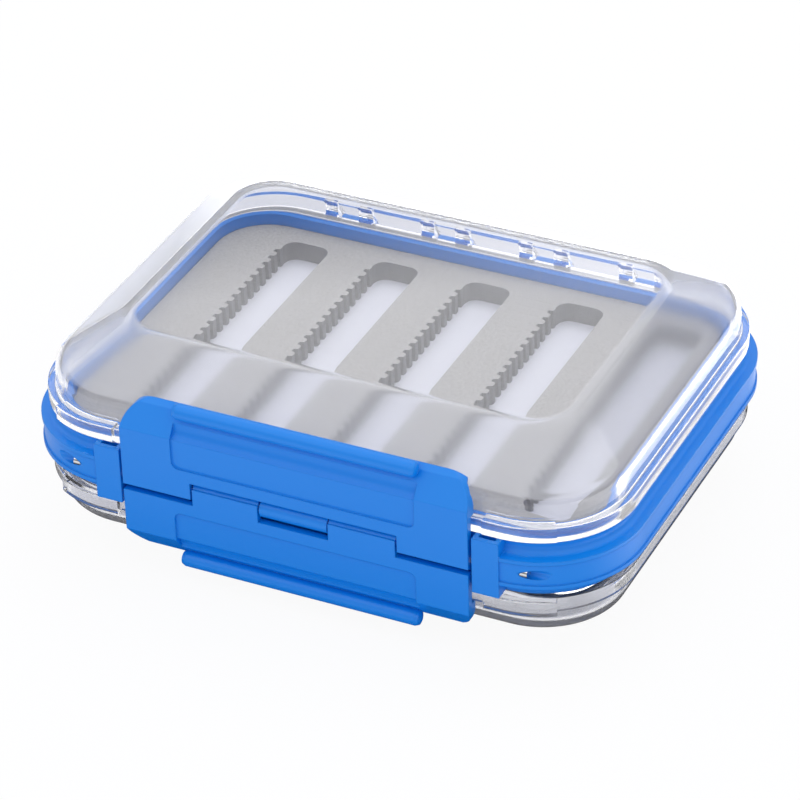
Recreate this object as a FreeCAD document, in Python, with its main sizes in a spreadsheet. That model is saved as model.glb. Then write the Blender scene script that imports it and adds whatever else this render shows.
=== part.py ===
import FreeCAD, Part
import math
import os
import Sketcher
from FreeCAD import Vector

# Double-sided jig box, all sizes in millimetres
# +X runs to the right along the front, +Y to the back, +Z up
# Each body is drawn about the middle of the frame, where its two halves mirror,
# and is then lifted so that the flat of the lower window rests on Z = 0

os.makedirs("parts", exist_ok=True)
doc = FreeCAD.newDocument("jig_box")

# Sizes: name, value, what it is
SIZES = [
    ("belt_x", 61.0, "belt crest, half length"),
    ("belt_y", 46.9, "belt crest, half depth"),
    ("belt_r", 20.1, "belt crest, corner radius"),
    ("belt_z", 3.0, "belt crest, height from the middle"),
    ("bead_h", 0.8, "height of the bead along each crest"),
    ("bead_d", 0.3, "how far the bead stands out"),
    ("rim_in", 3.0, "rim wall, inset from the crest"),
    ("rim_z", 5.9, "rim top from the middle"),
    ("shoulder_r", 1.5, "concave round between belt and rim"),
    ("open_x", 54.2, "inner opening, half length"),
    ("open_y", 38.8, "inner opening, half depth"),
    ("open_r", 11.0, "inner opening, corner radius"),
    ("lip_w", 1.2, "raised lip round the opening, thickness"),
    ("lip_z", 6.65, "lip top from the middle"),
    ("groove_x", 55.9, "seal groove, inner half length"),
    ("groove_y", 41.3, "seal groove, inner half depth"),
    ("groove_r", 13.2, "seal groove, inner corner radius"),
    ("groove_w", 1.4, "seal groove width"),
    ("groove_d", 1.5, "seal groove depth"),
    ("seal_gap", 0.05, "side gap of a seal in its groove"),
    ("seal_h", 1.62, "seal height"),
    ("panel_t", 0.5, "centre panel thickness"),
    ("panel_in", 1.0, "depth of the panel groove in the frame"),
    ("panel_gap", 0.1, "gap between panel edge and groove floor"),
    ("panel_fit", 0.04, "extra height of the panel groove"),
    ("foam_t", 4.1, "foam thickness"),
    ("foam_gap", 0.3, "gap between foam and frame"),
    ("slot_w", 9.6, "foam slot width"),
    ("slot_y", 33.7, "foam slot, half length"),
    ("slot_r", 2.5, "foam slot, corner radius"),
    ("slot_pitch", 19.9, "spacing of the foam slots"),
    ("slot_n", 5, "number of foam slots"),
    ("slot_shift", 3.7, "how far the row of slots sits to the right"),
    ("lid_gap", 0.2, "gap between a rim top and the lid"),
    ("flange_in", 1.6, "lid flange, inset from the crest"),
    ("flange_h", 3.1, "lid flange height"),
    ("wall_x", 57.9, "lid wall at the flange, half length"),
    ("wall_y", 43.8, "lid wall at the flange, half depth"),
    ("wall_r", 17.2, "lid wall at the flange, corner radius"),
    ("wall2_x", 57.5, "lid wall top, half length"),
    ("wall2_y", 43.3, "lid wall top, half depth"),
    ("wall2_r", 16.2, "lid wall top, corner radius"),
    ("wall2_z", 13.2, "lid wall top, height"),
    ("turn_x", 57.0, "lid shoulder, half length"),
    ("turn_y", 42.8, "lid shoulder, half depth"),
    ("turn_r", 15.6, "lid shoulder, corner radius"),
    ("turn_z", 14.3, "lid shoulder, height"),
    ("bevel_x", 56.0, "bevel foot, half length"),
    ("bevel_y", 41.7, "bevel foot, half depth"),
    ("bevel_r", 14.8, "bevel foot, corner radius"),
    ("bevel_z", 15.0, "bevel foot, height"),
    ("edge_x", 46.3, "bevel head, half length"),
    ("edge_y", 30.4, "bevel head, half depth"),
    ("edge_r", 8.4, "bevel head, corner radius"),
    ("edge_z", 21.15, "bevel head, height"),
    ("window_x", 45.2, "flat window, half length"),
    ("window_y", 29.1, "flat window, half depth"),
    ("window_r", 7.8, "flat window, corner radius"),
    ("window_z", 21.6, "flat window, height"),
    ("lip_fit", 0.3, "lid wall inside, outset from the seal groove"),
    ("in_wall_z", 12.9, "inner wall top, height"),
    ("in_bevel_x", 55.3, "inner bevel foot, half length"),
    ("in_bevel_y", 40.8, "inner bevel foot, half depth"),
    ("in_bevel_r", 13.2, "inner bevel foot, corner radius"),
    ("in_bevel_z", 13.45, "inner bevel foot, height"),
    ("in_window_x", 44.9, "window inside, half length"),
    ("in_window_y", 28.8, "window inside, half depth"),
    ("in_window_r", 7.6, "window inside, corner radius"),
    ("in_window_z", 20.0, "window inside, height"),
    ("tab_x0", 37.5, "finger tab, inner end"),
    ("tab_x1", 51.0, "finger tab, outer end"),
    ("tab_d", 0.9, "how far a finger tab stands out"),
    ("tab_z", 0.5, "step from the flange's foot up to a finger tab"),
    ("tab_h", 3.1, "finger tab height"),
    ("pin_y", -45.2, "latch pin axis"),
    ("pin_r", 1.0, "latch pin radius"),
    ("pin_fit", 0.05, "running clearance of every pin"),
    ("pin_x", 46.3, "latch pin, half length"),
    ("latch_x", 35.25, "latch, half length"),
    ("latch_gap", 0.6, "gap between a latch and a lug"),
    ("face_y", -47.2, "latch front face"),
    ("inner_y", -45.65, "latch plate, inner face"),
    ("hook_y", -44.35, "latch hook, inner face"),
    ("hook_z", 9.45, "latch hook, underside height"),
    ("kink_z", 11.4, "where the latch face starts to lean"),
    ("lean_y", -43.9, "latch, front edge of its top"),
    ("lean_z", 15.85, "latch, height of that edge"),
    ("tip_y", -42.5, "latch tip, outer edge"),
    ("tip_z", 16.6, "latch tip, outer height"),
    ("tip_in_y", -42.1, "latch tip, inner edge"),
    ("tip_in_z", 15.35, "latch tip, inner height"),
    ("neck_y", -43.3, "latch neck over the lid shoulder"),
    ("neck_z", 14.95, "latch neck height"),
    ("throat_z", 13.6, "latch hook, top of its inner face"),
    ("latch_r", 5.5, "corner round of a latch"),
    ("step_x", 21.1, "step between outer and middle knuckles"),
    ("step_gap", 0.4, "side gap between the knuckles"),
    ("mid_x", 7.2, "half width of the notch round the centre knuckle"),
    ("leg_z", 1.16, "how far a latch face passes the pin axis"),
    ("clear_z", 2.44, "where a latch stops beside its partner"),
    ("knuckle_r", 2.0, "latch knuckle radius"),
    ("panel_x", 24.7, "grip recess, half length"),
    ("panel_z0", 5.0, "grip recess, near edge"),
    ("panel_d", 0.4, "grip recess depth"),
    ("panel_r", 1.4, "grip recess, corner radius"),
    ("panel_z1", 12.6, "grip recess, far edge"),
    ("scoop_y", -48.2, "finger scoop axis"),
    ("scoop_z", 13.55, "finger scoop height"),
    ("scoop_r", 2.9, "finger scoop radius"),
    ("bar_y", -45.0, "grip bar axis"),
    ("bar_z", 16.5, "grip bar height"),
    ("bar_r", 1.6, "grip bar radius"),
    ("bar_round", 1.0, "round at the ends of the grip bar"),
    ("lug_y", -47.0, "lug front face"),
    ("lug_w", 5.3, "lug width"),
    ("pocket_w", 3.3, "pocket in a lug, width"),
    ("pocket_l", 1.9, "pocket in a lug, front to back"),
    ("pocket_y", -44.15, "pocket in a lug, back edge"),
    ("pocket_d", 3.4, "pocket in a lug, depth"),
    ("swing_r", 2.55, "room for the latch knuckles"),
    ("centre_x", 6.9, "centre knuckle, half width"),
    ("centre_r", 1.9, "centre knuckle radius"),
    ("hinge_y", 46.4, "hinge axis"),
    ("hinge_z", 3.8, "hinge axis height"),
    ("hinge_pitch", 21.4, "spacing of the hinge units"),
    ("hinge_n", 4, "hinge units on each lid"),
    ("cheek_w", 2.9, "hinge cheek width"),
    ("cheek_gap", 4.7, "gap between the cheeks of a unit"),
    ("cheek_r", 2.2, "hinge cheek radius"),
    ("cheek_fit", 0.2, "side gap at a hinge knuckle"),
    ("cheek_room", 2.5, "room for the turning cheeks"),
    ("cheek_z", 9.6, "top of a hinge cheek"),
    ("cheek_y0", 43.3, "root of a hinge cheek in the lid wall"),
    ("cheek_y1", 44.4, "front of a cheek below the flange"),
    ("cheek_y2", 45.1, "top back corner of a cheek"),
    ("barrel_r", 1.9, "frame hinge knuckle radius"),
    ("notch_y", 44.6, "flange notch over a frame knuckle"),
    ("hinge_pin_r", 0.8, "hinge pin radius"),
    ("hinge_pin_l", 10.4, "hinge pin length"),
    ("over", 1.0, "how far a cut runs past the solid"),
]

sheet = doc.addObject("Spreadsheet::Sheet", "sizes")
VALUE = {}
for row, (name, value, note) in enumerate(SIZES, start=1):
    sheet.set("A%d" % row, name)
    sheet.set("B%d" % row, str(value))
    sheet.set("C%d" % row, note)
    sheet.setAlias("B%d" % row, name)
    VALUE[name] = float(value)
doc.recompute()


class Size:
    """A length that knows its value and its spreadsheet expression."""

    def __init__(self, value, text):
        self.value = value
        self.text = text

    def __add__(self, other):
        other = size(other)
        return Size(self.value + other.value, "(%s + %s)" % (self.text, other.text))

    def __sub__(self, other):
        other = size(other)
        return Size(self.value - other.value, "(%s - %s)" % (self.text, other.text))

    def __mul__(self, other):
        other = size(other)
        return Size(self.value * other.value, "(%s * %s)" % (self.text, other.text))

    def __neg__(self):
        return Size(-self.value, "(0 - %s)" % self.text)


def size(item):
    """Turn a name or a plain count into a Size."""
    if isinstance(item, Size):
        return item
    if isinstance(item, str):
        return Size(VALUE[item], "sizes.%s" % item)
    return Size(float(item), "%g" % item if item >= 0 else "(0 - %g)" % -item)


def new_body(name):
    """Add a body whose label is the node name."""
    body = doc.addObject("PartDesign::Body", name)
    body.Label = name
    return body


def new_sketch(body, name, plane, shift):
    """Attach a sketch to one of the body's origin planes, moved along its normal."""
    sketch = body.newObject("Sketcher::SketchObject", name)
    base = [f for f in body.Origin.OriginFeatures if f.Role == plane][0]
    sketch.AttachmentSupport = [(base, "")]
    sketch.MapMode = "FlatFace"
    sketch.setExpression("AttachmentOffset.Base.z", size(shift).text)
    return sketch


def place(sketch, index, point, at):
    """Tie one point of a sketch to two sizes measured from the sketch's origin."""
    for axis, length in zip("XY", at):
        if abs(length.value) < 1e-9:
            sketch.addConstraint(
                Sketcher.Constraint("PointOnObject", index, point, -2 if axis == "X" else -1))
            continue
        kind = "Distance" + axis
        if length.value > 0:
            tie = sketch.addConstraint(
                Sketcher.Constraint(kind, -1, 1, index, point, length.value))
            sketch.setExpression("Constraints[%d]" % tie, length.text)
        else:
            tie = sketch.addConstraint(
                Sketcher.Constraint(kind, index, point, -1, 1, -length.value))
            sketch.setExpression("Constraints[%d]" % tie, (-length).text)


def polygon(sketch, points):
    """Draw a closed polygon through pairs of sizes."""
    points = [(size(u), size(v)) for u, v in points]
    corner = [Vector(u.value, v.value, 0) for u, v in points]
    first = len(sketch.Geometry)
    count = len(points)
    for i in range(count):
        sketch.addGeometry(Part.LineSegment(corner[i], corner[(i + 1) % count]), False)
    for i in range(count):
        sketch.addConstraint(
            Sketcher.Constraint("Coincident", first + i, 2, first + (i + 1) % count, 1))
    for i in range(count):
        place(sketch, first + i, 1, points[i])


def circle(sketch, at, radius):
    """Draw a circle from the sizes of its centre and radius."""
    at = (size(at[0]), size(at[1]))
    radius = size(radius)
    centre = Vector(at[0].value, at[1].value, 0)
    index = sketch.addGeometry(Part.Circle(centre, Vector(0, 0, 1), radius.value), False)
    tie = sketch.addConstraint(Sketcher.Constraint("Radius", index, radius.value))
    sketch.setExpression("Constraints[%d]" % tie, radius.text)
    place(sketch, index, 3, at)


def rounded(sketch, x0, x1, y0, y1, radius):
    """Draw a rectangle with rounded corners between four sizes."""
    x0, x1, y0, y1, radius = [size(v) for v in (x0, x1, y0, y1, radius)]
    r = radius.value
    a0, a1, b0, b1 = x0.value, x1.value, y0.value, y1.value
    n = len(sketch.Geometry)
    line = lambda p, q: Part.LineSegment(Vector(p[0], p[1], 0), Vector(q[0], q[1], 0))
    arc = lambda c, s: Part.ArcOfCircle(
        Part.Circle(Vector(c[0], c[1], 0), Vector(0, 0, 1), r),
        math.radians(s), math.radians(s + 90))
    sketch.addGeometry(line((a1, b0 + r), (a1, b1 - r)), False)
    sketch.addGeometry(arc((a1 - r, b1 - r), 0), False)
    sketch.addGeometry(line((a1 - r, b1), (a0 + r, b1)), False)
    sketch.addGeometry(arc((a0 + r, b1 - r), 90), False)
    sketch.addGeometry(line((a0, b1 - r), (a0, b0 + r)), False)
    sketch.addGeometry(arc((a0 + r, b0 + r), 180), False)
    sketch.addGeometry(line((a0 + r, b0), (a1 - r, b0)), False)
    sketch.addGeometry(arc((a1 - r, b0 + r), 270), False)
    for i in range(8):
        sketch.addConstraint(
            Sketcher.Constraint("Tangent", n + i, 2, n + (i + 1) % 8, 1))
    sketch.addConstraint(Sketcher.Constraint("Vertical", n))
    sketch.addConstraint(Sketcher.Constraint("Horizontal", n + 2))
    sketch.addConstraint(Sketcher.Constraint("Vertical", n + 4))
    sketch.addConstraint(Sketcher.Constraint("Horizontal", n + 6))
    tie = sketch.addConstraint(Sketcher.Constraint("Radius", n + 1, r))
    sketch.setExpression("Constraints[%d]" % tie, radius.text)
    for i in (3, 5, 7):
        sketch.addConstraint(Sketcher.Constraint("Equal", n + 1, n + i))
    for index, length, axis in ((n, x1, "X"), (n + 2, y1, "Y"), (n + 4, x0, "X"), (n + 6, y0, "Y")):
        kind = "Distance" + axis
        if length.value > 0:
            tie = sketch.addConstraint(Sketcher.Constraint(kind, -1, 1, index, 1, length.value))
            sketch.setExpression("Constraints[%d]" % tie, length.text)
        else:
            tie = sketch.addConstraint(Sketcher.Constraint(kind, index, 1, -1, 1, -length.value))
            sketch.setExpression("Constraints[%d]" % tie, (-length).text)


def ring(sketch, half_x, half_y, radius):
    """Draw a rounded rectangle centred on the sketch's origin."""
    half_x, half_y = size(half_x), size(half_y)
    rounded(sketch, -half_x, half_x, -half_y, half_y, radius)


def solid(body, kind, name, sketch, length):
    """Pad or pocket a sketch over a length and check that the volume changed."""
    before = body.Shape.Volume if body.Tip else 0.0
    doc.recompute()
    feature = body.newObject("PartDesign::" + kind, name)
    feature.Profile = sketch
    feature.Refine = False
    feature.setExpression("Length", size(length).text)
    sketch.Visibility = False
    if kind == "Pocket":
        feature.Reversed = True
    doc.recompute()
    after = body.Shape.Volume
    grew = after > before
    if grew != (kind == "Pad") or abs(after - before) < 1e-6:
        raise RuntimeError("%s %s changed the volume by %.4f" % (body.Name, name, after - before))
    return feature


def slab(body, kind, name, plane, start, length, draw):
    """Sketch on a plane at a start height, then pad or pocket along the plane's normal."""
    sketch = new_sketch(body, name + "_sketch", plane, start)
    draw(sketch)
    return solid(body, kind, name, sketch, length)


def span(side, low, high):
    """Start and length of a height range, mirrored for the lower half."""
    low, high = size(low), size(high)
    return (low, high - low) if side > 0 else (-high, high - low)


def flip(side, length):
    """Mirror a height for the lower half."""
    return size(length) if side > 0 else -size(length)


def fillet(body, name, radius, chosen):
    """Round the edges of the body's tip that the test picks."""
    base = body.Tip
    names = ["Edge%d" % (i + 1) for i, e in enumerate(base.Shape.Edges) if chosen(e)]
    if not names:
        raise RuntimeError("no edges for " + name)
    feature = body.newObject("PartDesign::Fillet", name)
    feature.Base = (base, names)
    feature.Refine = False
    feature.setExpression("Radius", size(radius).text)
    doc.recompute()
    return feature


def crest_outline(inset):
    """Belt outline moved inwards."""
    inset = size(inset)
    return size("belt_x") - inset, size("belt_y") - inset, size("belt_r") - inset


def open_outline(outset):
    """Inner opening outline moved outwards."""
    outset = size(outset)
    return size("open_x") + outset, size("open_y") + outset, size("open_r") + outset


def groove_outline(outset):
    """Inner side of the seal groove moved outwards."""
    outset = size(outset)
    return size("groove_x") + outset, size("groove_y") + outset, size("groove_r") + outset


def row_along_x(body, name, originals, pitch, count):
    """Repeat features along X and make the row the body's tip."""
    row = body.newObject("PartDesign::LinearPattern", name)
    row.Originals = originals
    row.Refine = False
    axis = [f for f in body.Origin.OriginFeatures if f.Role == "X_Axis"][0]
    row.Direction = (axis, [""])
    row.Mode = 1
    row.setExpression("Offset", size(pitch).text)
    row.setExpression("Occurrences", size(count).text)
    body.Tip = row
    doc.recompute()
    return row


HINGE_X = [size("hinge_pitch") * (i - (VALUE["hinge_n"] - 1) / 2) for i in range(int(VALUE["hinge_n"]))]
CHEEK_OUT = size("cheek_gap") * 0.5 + "cheek_w"


def hollow(outer):
    """Draw an outline with the frame's inner opening inside it."""
    def draw(sketch):
        ring(sketch, *outer)
        ring(sketch, *open_outline(0))
    return draw


def build_frame():
    """Belt, rims, lips, lugs and knuckles as one moulded ring."""
    body = new_body("frame")
    over = size("over")
    slab(body, "Pad", "belt", "XY_Plane", -size("belt_z"), size("belt_z") * 2,
         hollow(crest_outline("bead_d")))
    for side, name in ((1, "up"), (-1, "low")):
        start, length = span(side, size("belt_z") - "bead_h", "belt_z")
        slab(body, "Pad", "bead_" + name, "XY_Plane", start, length, hollow(crest_outline(0)))
    slab(body, "Pad", "rim", "XY_Plane", -size("rim_z"), size("rim_z") * 2,
         hollow(crest_outline("rim_in")))
    rim = [VALUE["belt_x"] - VALUE["rim_in"], VALUE["belt_y"] - VALUE["rim_in"]]

    def at_rim_foot(edge):
        box = edge.BoundBox
        flat = abs(box.ZMax - box.ZMin) < 1e-6 and abs(abs(box.ZMax) - VALUE["belt_z"]) < 1e-6
        reach = max(abs(box.XMin), abs(box.XMax)) <= rim[0] + 1e-6
        return flat and reach and max(abs(box.YMin), abs(box.YMax)) <= rim[1] + 1e-6

    fillet(body, "shoulder", "shoulder_r", at_rim_foot)
    # Grooves for the panel and the seals
    half_t = (size("panel_t") + "panel_fit") * 0.5
    slab(body, "Pocket", "panel_groove", "XY_Plane", -half_t, half_t * 2,
         lambda s: ring(s, *open_outline("panel_in")))
    for side, name in ((1, "up"), (-1, "low")):
        start, length = span(side, size("rim_z") - "groove_d", "rim_z")

        def draw(s):
            ring(s, *groove_outline(0))
            ring(s, *groove_outline("groove_w"))

        slab(body, "Pocket", "seal_groove_" + name, "XY_Plane", start, length, draw)
        start, length = span(side, "rim_z", "lip_z")
        slab(body, "Pad", "lip_" + name, "XY_Plane", start, length, hollow(open_outline("lip_w")))
    # Front recess for the latches, then the two lugs and the centre knuckle
    room = size("latch_x") + "latch_gap"
    wall_y = -crest_outline("rim_in")[1]
    root_y = -groove_outline("groove_w")[1]
    slab(body, "Pocket", "latch_room", "XY_Plane", -size("rim_z"), size("rim_z") * 2,
         lambda s: polygon(s, [(-room, wall_y), (room, wall_y),
                               (room, -size("belt_y") - over), (-room, -size("belt_y") - over)]))
    slab(body, "Pocket", "knuckle_room", "YZ_Plane", -room, room * 2,
         lambda s: circle(s, ("pin_y", 0), "swing_r"))
    inner = [room, -room - "lug_w"]
    slab(body, "Pad", "lugs", "XY_Plane", -size("rim_z"), size("rim_z") * 2,
         lambda s: [polygon(s, [(x, "lug_y"), (x + "lug_w", "lug_y"), (x + "lug_w", root_y), (x, root_y)])
                    for x in inner])
    near_y = size("pocket_y") - "pocket_l"
    side_gap = (size("lug_w") - "pocket_w") * 0.5
    for side, name in ((1, "up"), (-1, "low")):
        start, length = span(side, size("rim_z") - "pocket_d", "rim_z")
        slab(body, "Pocket", "lug_pockets_" + name, "XY_Plane", start, length,
             lambda s: [polygon(s, [(x, near_y), (x + "pocket_w", near_y),
                                    (x + "pocket_w", "pocket_y"), (x, "pocket_y")])
                        for x in (inner[0] + side_gap, inner[1] + side_gap)])
    slab(body, "Pad", "centre_knuckle", "YZ_Plane", -size("centre_x"), size("centre_x") * 2,
         lambda s: circle(s, ("pin_y", 0), "centre_r"))
    slab(body, "Pad", "centre_web", "YZ_Plane", -size("centre_x"), size("centre_x") * 2,
         lambda s: polygon(s, [("pin_y", -size("centre_r")), (root_y, -size("centre_r")),
                               (root_y, "centre_r"), ("pin_y", "centre_r")]))
    # Hinge posts at the back with room for the lids' cheeks
    x = HINGE_X[0]
    pair = lambda radius: (lambda s: [circle(s, ("hinge_y", flip(side, "hinge_z")), radius)
                                      for side in (1, -1)])
    cheek_room = slab(body, "Pocket", "cheek_room", "YZ_Plane", x - CHEEK_OUT - "cheek_fit",
                      (CHEEK_OUT + "cheek_fit") * 2, pair("cheek_room"))
    row_along_x(body, "cheek_room_row", [cheek_room], "hinge_pitch", "hinge_n")
    half = size("cheek_gap") * 0.5 - "cheek_fit"
    back = size("hinge_y") + "barrel_r"
    front = size("hinge_y") - "rim_in"
    slab(body, "Pad", "hinge_posts", "XY_Plane", -size("hinge_z"), size("hinge_z") * 2,
         lambda s: [polygon(s, [(p - half, front), (p + half, front), (p + half, back), (p - half, back)])
                    for p in HINGE_X])
    barrel = slab(body, "Pad", "barrels", "YZ_Plane", x - half, half * 2, pair("barrel_r"))
    row_along_x(body, "barrel_row", [barrel], "hinge_pitch", "hinge_n")
    # Bores: the long latch pin and the short hinge pins, all pressed in the frame
    slab(body, "Pocket", "latch_bore", "YZ_Plane", -size("belt_x") - over, (size("belt_x") + over) * 2,
         lambda s: circle(s, ("pin_y", 0), "pin_r"))
    reach = HINGE_X[-1] + CHEEK_OUT + "over"
    slab(body, "Pocket", "hinge_bores", "YZ_Plane", -reach, reach * 2, pair("hinge_pin_r"))
    return body


def build_panel():
    """White sheet that fills the frame's panel groove."""
    body = new_body("centre_panel")
    slab(body, "Pad", "sheet", "XY_Plane", size("panel_t") * -0.5, "panel_t",
         lambda s: ring(s, *open_outline(size("panel_in") - "panel_gap")))
    return body


def build_foam(side, name):
    """Foam pad with a row of slots, glued to the panel."""
    body = new_body(name)
    bottom = size("panel_t") * 0.5
    start, length = span(side, bottom, bottom + "foam_t")
    slab(body, "Pad", "pad", "XY_Plane", start, length,
         lambda s: ring(s, *open_outline(-size("foam_gap"))))
    first = size("slot_pitch") * (-(VALUE["slot_n"] - 1) / 2) + "slot_shift"
    half = size("slot_w") * 0.5
    slot = slab(body, "Pocket", "slot", "XY_Plane", start, length,
                lambda s: rounded(s, first - half, first + half,
                                  -size("slot_y"), size("slot_y"), "slot_r"))
    row_along_x(body, "slot_row", [slot], "slot_pitch", "slot_n")
    return body


def build_seal(side, name):
    """Ring of square section in a seal groove."""
    body = new_body(name)
    base = size("rim_z") - "groove_d"
    start, length = span(side, base, base + "seal_h")

    def draw(s):
        ring(s, *groove_outline("seal_gap"))
        ring(s, *groove_outline(size("groove_w") - "seal_gap"))

    slab(body, "Pad", "ring", "XY_Plane", start, length, draw)
    return body


def loft(body, kind, name, side, sections):
    """Ruled loft through rounded rectangles given as half sizes, radius and height."""
    sketches = []
    for i, (half_x, half_y, radius, height) in enumerate(sections):
        sketch = new_sketch(body, "%s_%d" % (name, i + 1), "XY_Plane", flip(side, height))
        ring(sketch, half_x, half_y, radius)
        sketch.Visibility = False
        sketches.append(sketch)
    doc.recompute()
    before = body.Shape.Volume if body.Tip else 0.0
    feature = body.newObject("PartDesign::" + kind, name)
    feature.Profile = sketches[0]
    feature.Sections = sketches[1:]
    feature.Ruled = True
    feature.Refine = False
    doc.recompute()
    if abs(body.Shape.Volume - before) < 1e-3:
        raise RuntimeError(name + " changed nothing")
    return feature


def build_lid(side, name):
    """Clear lid: flange, wall, wide bevel, flat window, tabs and hinge cheeks."""
    body = new_body(name)
    foot = size("rim_z") + "lid_gap"
    brim = foot + "flange_h"
    # The wall, shoulder and bevel: the form that takes most skill to draw
    loft(body, "AdditiveLoft", "dome", side, [
        ("wall_x", "wall_y", "wall_r", foot),
        ("wall_x", "wall_y", "wall_r", brim),
        ("wall2_x", "wall2_y", "wall2_r", "wall2_z"),
        ("turn_x", "turn_y", "turn_r", "turn_z"),
        ("bevel_x", "bevel_y", "bevel_r", "bevel_z"),
        ("edge_x", "edge_y", "edge_r", "edge_z"),
        ("window_x", "window_y", "window_r", "window_z")])
    start, length = span(side, foot, brim)
    slab(body, "Pad", "flange", "XY_Plane", start, length,
         lambda s: ring(s, *crest_outline("flange_in")))
    start, length = span(side, foot + "tab_z", foot + "tab_z" + "tab_h")
    flange_y = size("belt_y") - "flange_in"
    centre_x = size("belt_x") - "belt_r"
    for hand, label in ((1, "right"), (-1, "left")):
        x0, x1 = size("tab_x0") * hand, size("tab_x1") * hand
        # The tab follows the flange's corner: its outer edge is an inset of the crest
        radius = size("belt_r") - "flange_in" + "tab_d"
        drop = radius.value - math.sqrt(radius.value ** 2 - (VALUE["tab_x1"] - centre_x.value) ** 2)
        front = -(flange_y + "tab_d")
        points = []
        steps = 8
        for k in range(steps + 1):
            x = VALUE["tab_x0"] + (VALUE["tab_x1"] - VALUE["tab_x0"]) * k / steps
            bow = max(0.0, x - centre_x.value)
            dip = radius.value - math.sqrt(radius.value ** 2 - bow ** 2)
            share = k / steps
            points.append((x0 + (x1 - x0) * share, front + round(dip, 4)))
        back = -size("wall_y") + size("wall_y") * 0.02
        points.append((x1, front + round(drop, 4) + "tab_h"))
        points.append((x0, back))
        slab(body, "Pad", label + "_tab", "XY_Plane", start, length, lambda s: polygon(s, points))
    # Hinge cheeks in pairs
    z = lambda height: flip(side, height)
    unit = []
    for hand, label in ((1, "right"), (-1, "left")):
        x0 = HINGE_X[0] + size("cheek_gap") * 0.5 if hand > 0 else HINGE_X[0] - CHEEK_OUT
        unit.append(slab(
            body, "Pad", label + "_cheek", "YZ_Plane", x0, "cheek_w",
            lambda s: polygon(s, [("cheek_y0", z(foot)), ("cheek_y1", z(foot)),
                                  ("cheek_y1", z("hinge_z")), (size("hinge_y") + "cheek_r", z("hinge_z")),
                                  ("cheek_y2", z("cheek_z")), ("cheek_y0", z("cheek_z"))])))
        unit.append(slab(body, "Pad", label + "_cheek_end", "YZ_Plane", x0, "cheek_w",
                         lambda s: circle(s, ("hinge_y", z("hinge_z")), "cheek_r")))
    row_along_x(body, "cheek_row", unit, "hinge_pitch", "hinge_n")
    notch = size("cheek_gap") * 0.5
    start, length = span(side, foot - "over", brim + "over")
    back = size("hinge_y") + "over"
    slab(body, "Pocket", "notches", "XY_Plane", start, length,
         lambda s: [polygon(s, [(x - notch, "notch_y"), (x + notch, "notch_y"),
                                (x + notch, back), (x - notch, back)]) for x in HINGE_X])
    # Hollow inside
    lip = groove_outline("lip_fit")
    loft(body, "SubtractiveLoft", "hollow", side, [
        (lip[0], lip[1], lip[2], foot),
        (lip[0], lip[1], lip[2], "in_wall_z"),
        ("in_bevel_x", "in_bevel_y", "in_bevel_r", "in_bevel_z"),
        ("in_window_x", "in_window_y", "in_window_r", "in_window_z")])
    reach = HINGE_X[-1] + CHEEK_OUT + "over"
    slab(body, "Pocket", "hinge_bore", "YZ_Plane", -reach, reach * 2,
         lambda s: circle(s, ("hinge_y", z("hinge_z")), size("hinge_pin_r") + "pin_fit"))
    return body


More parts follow.
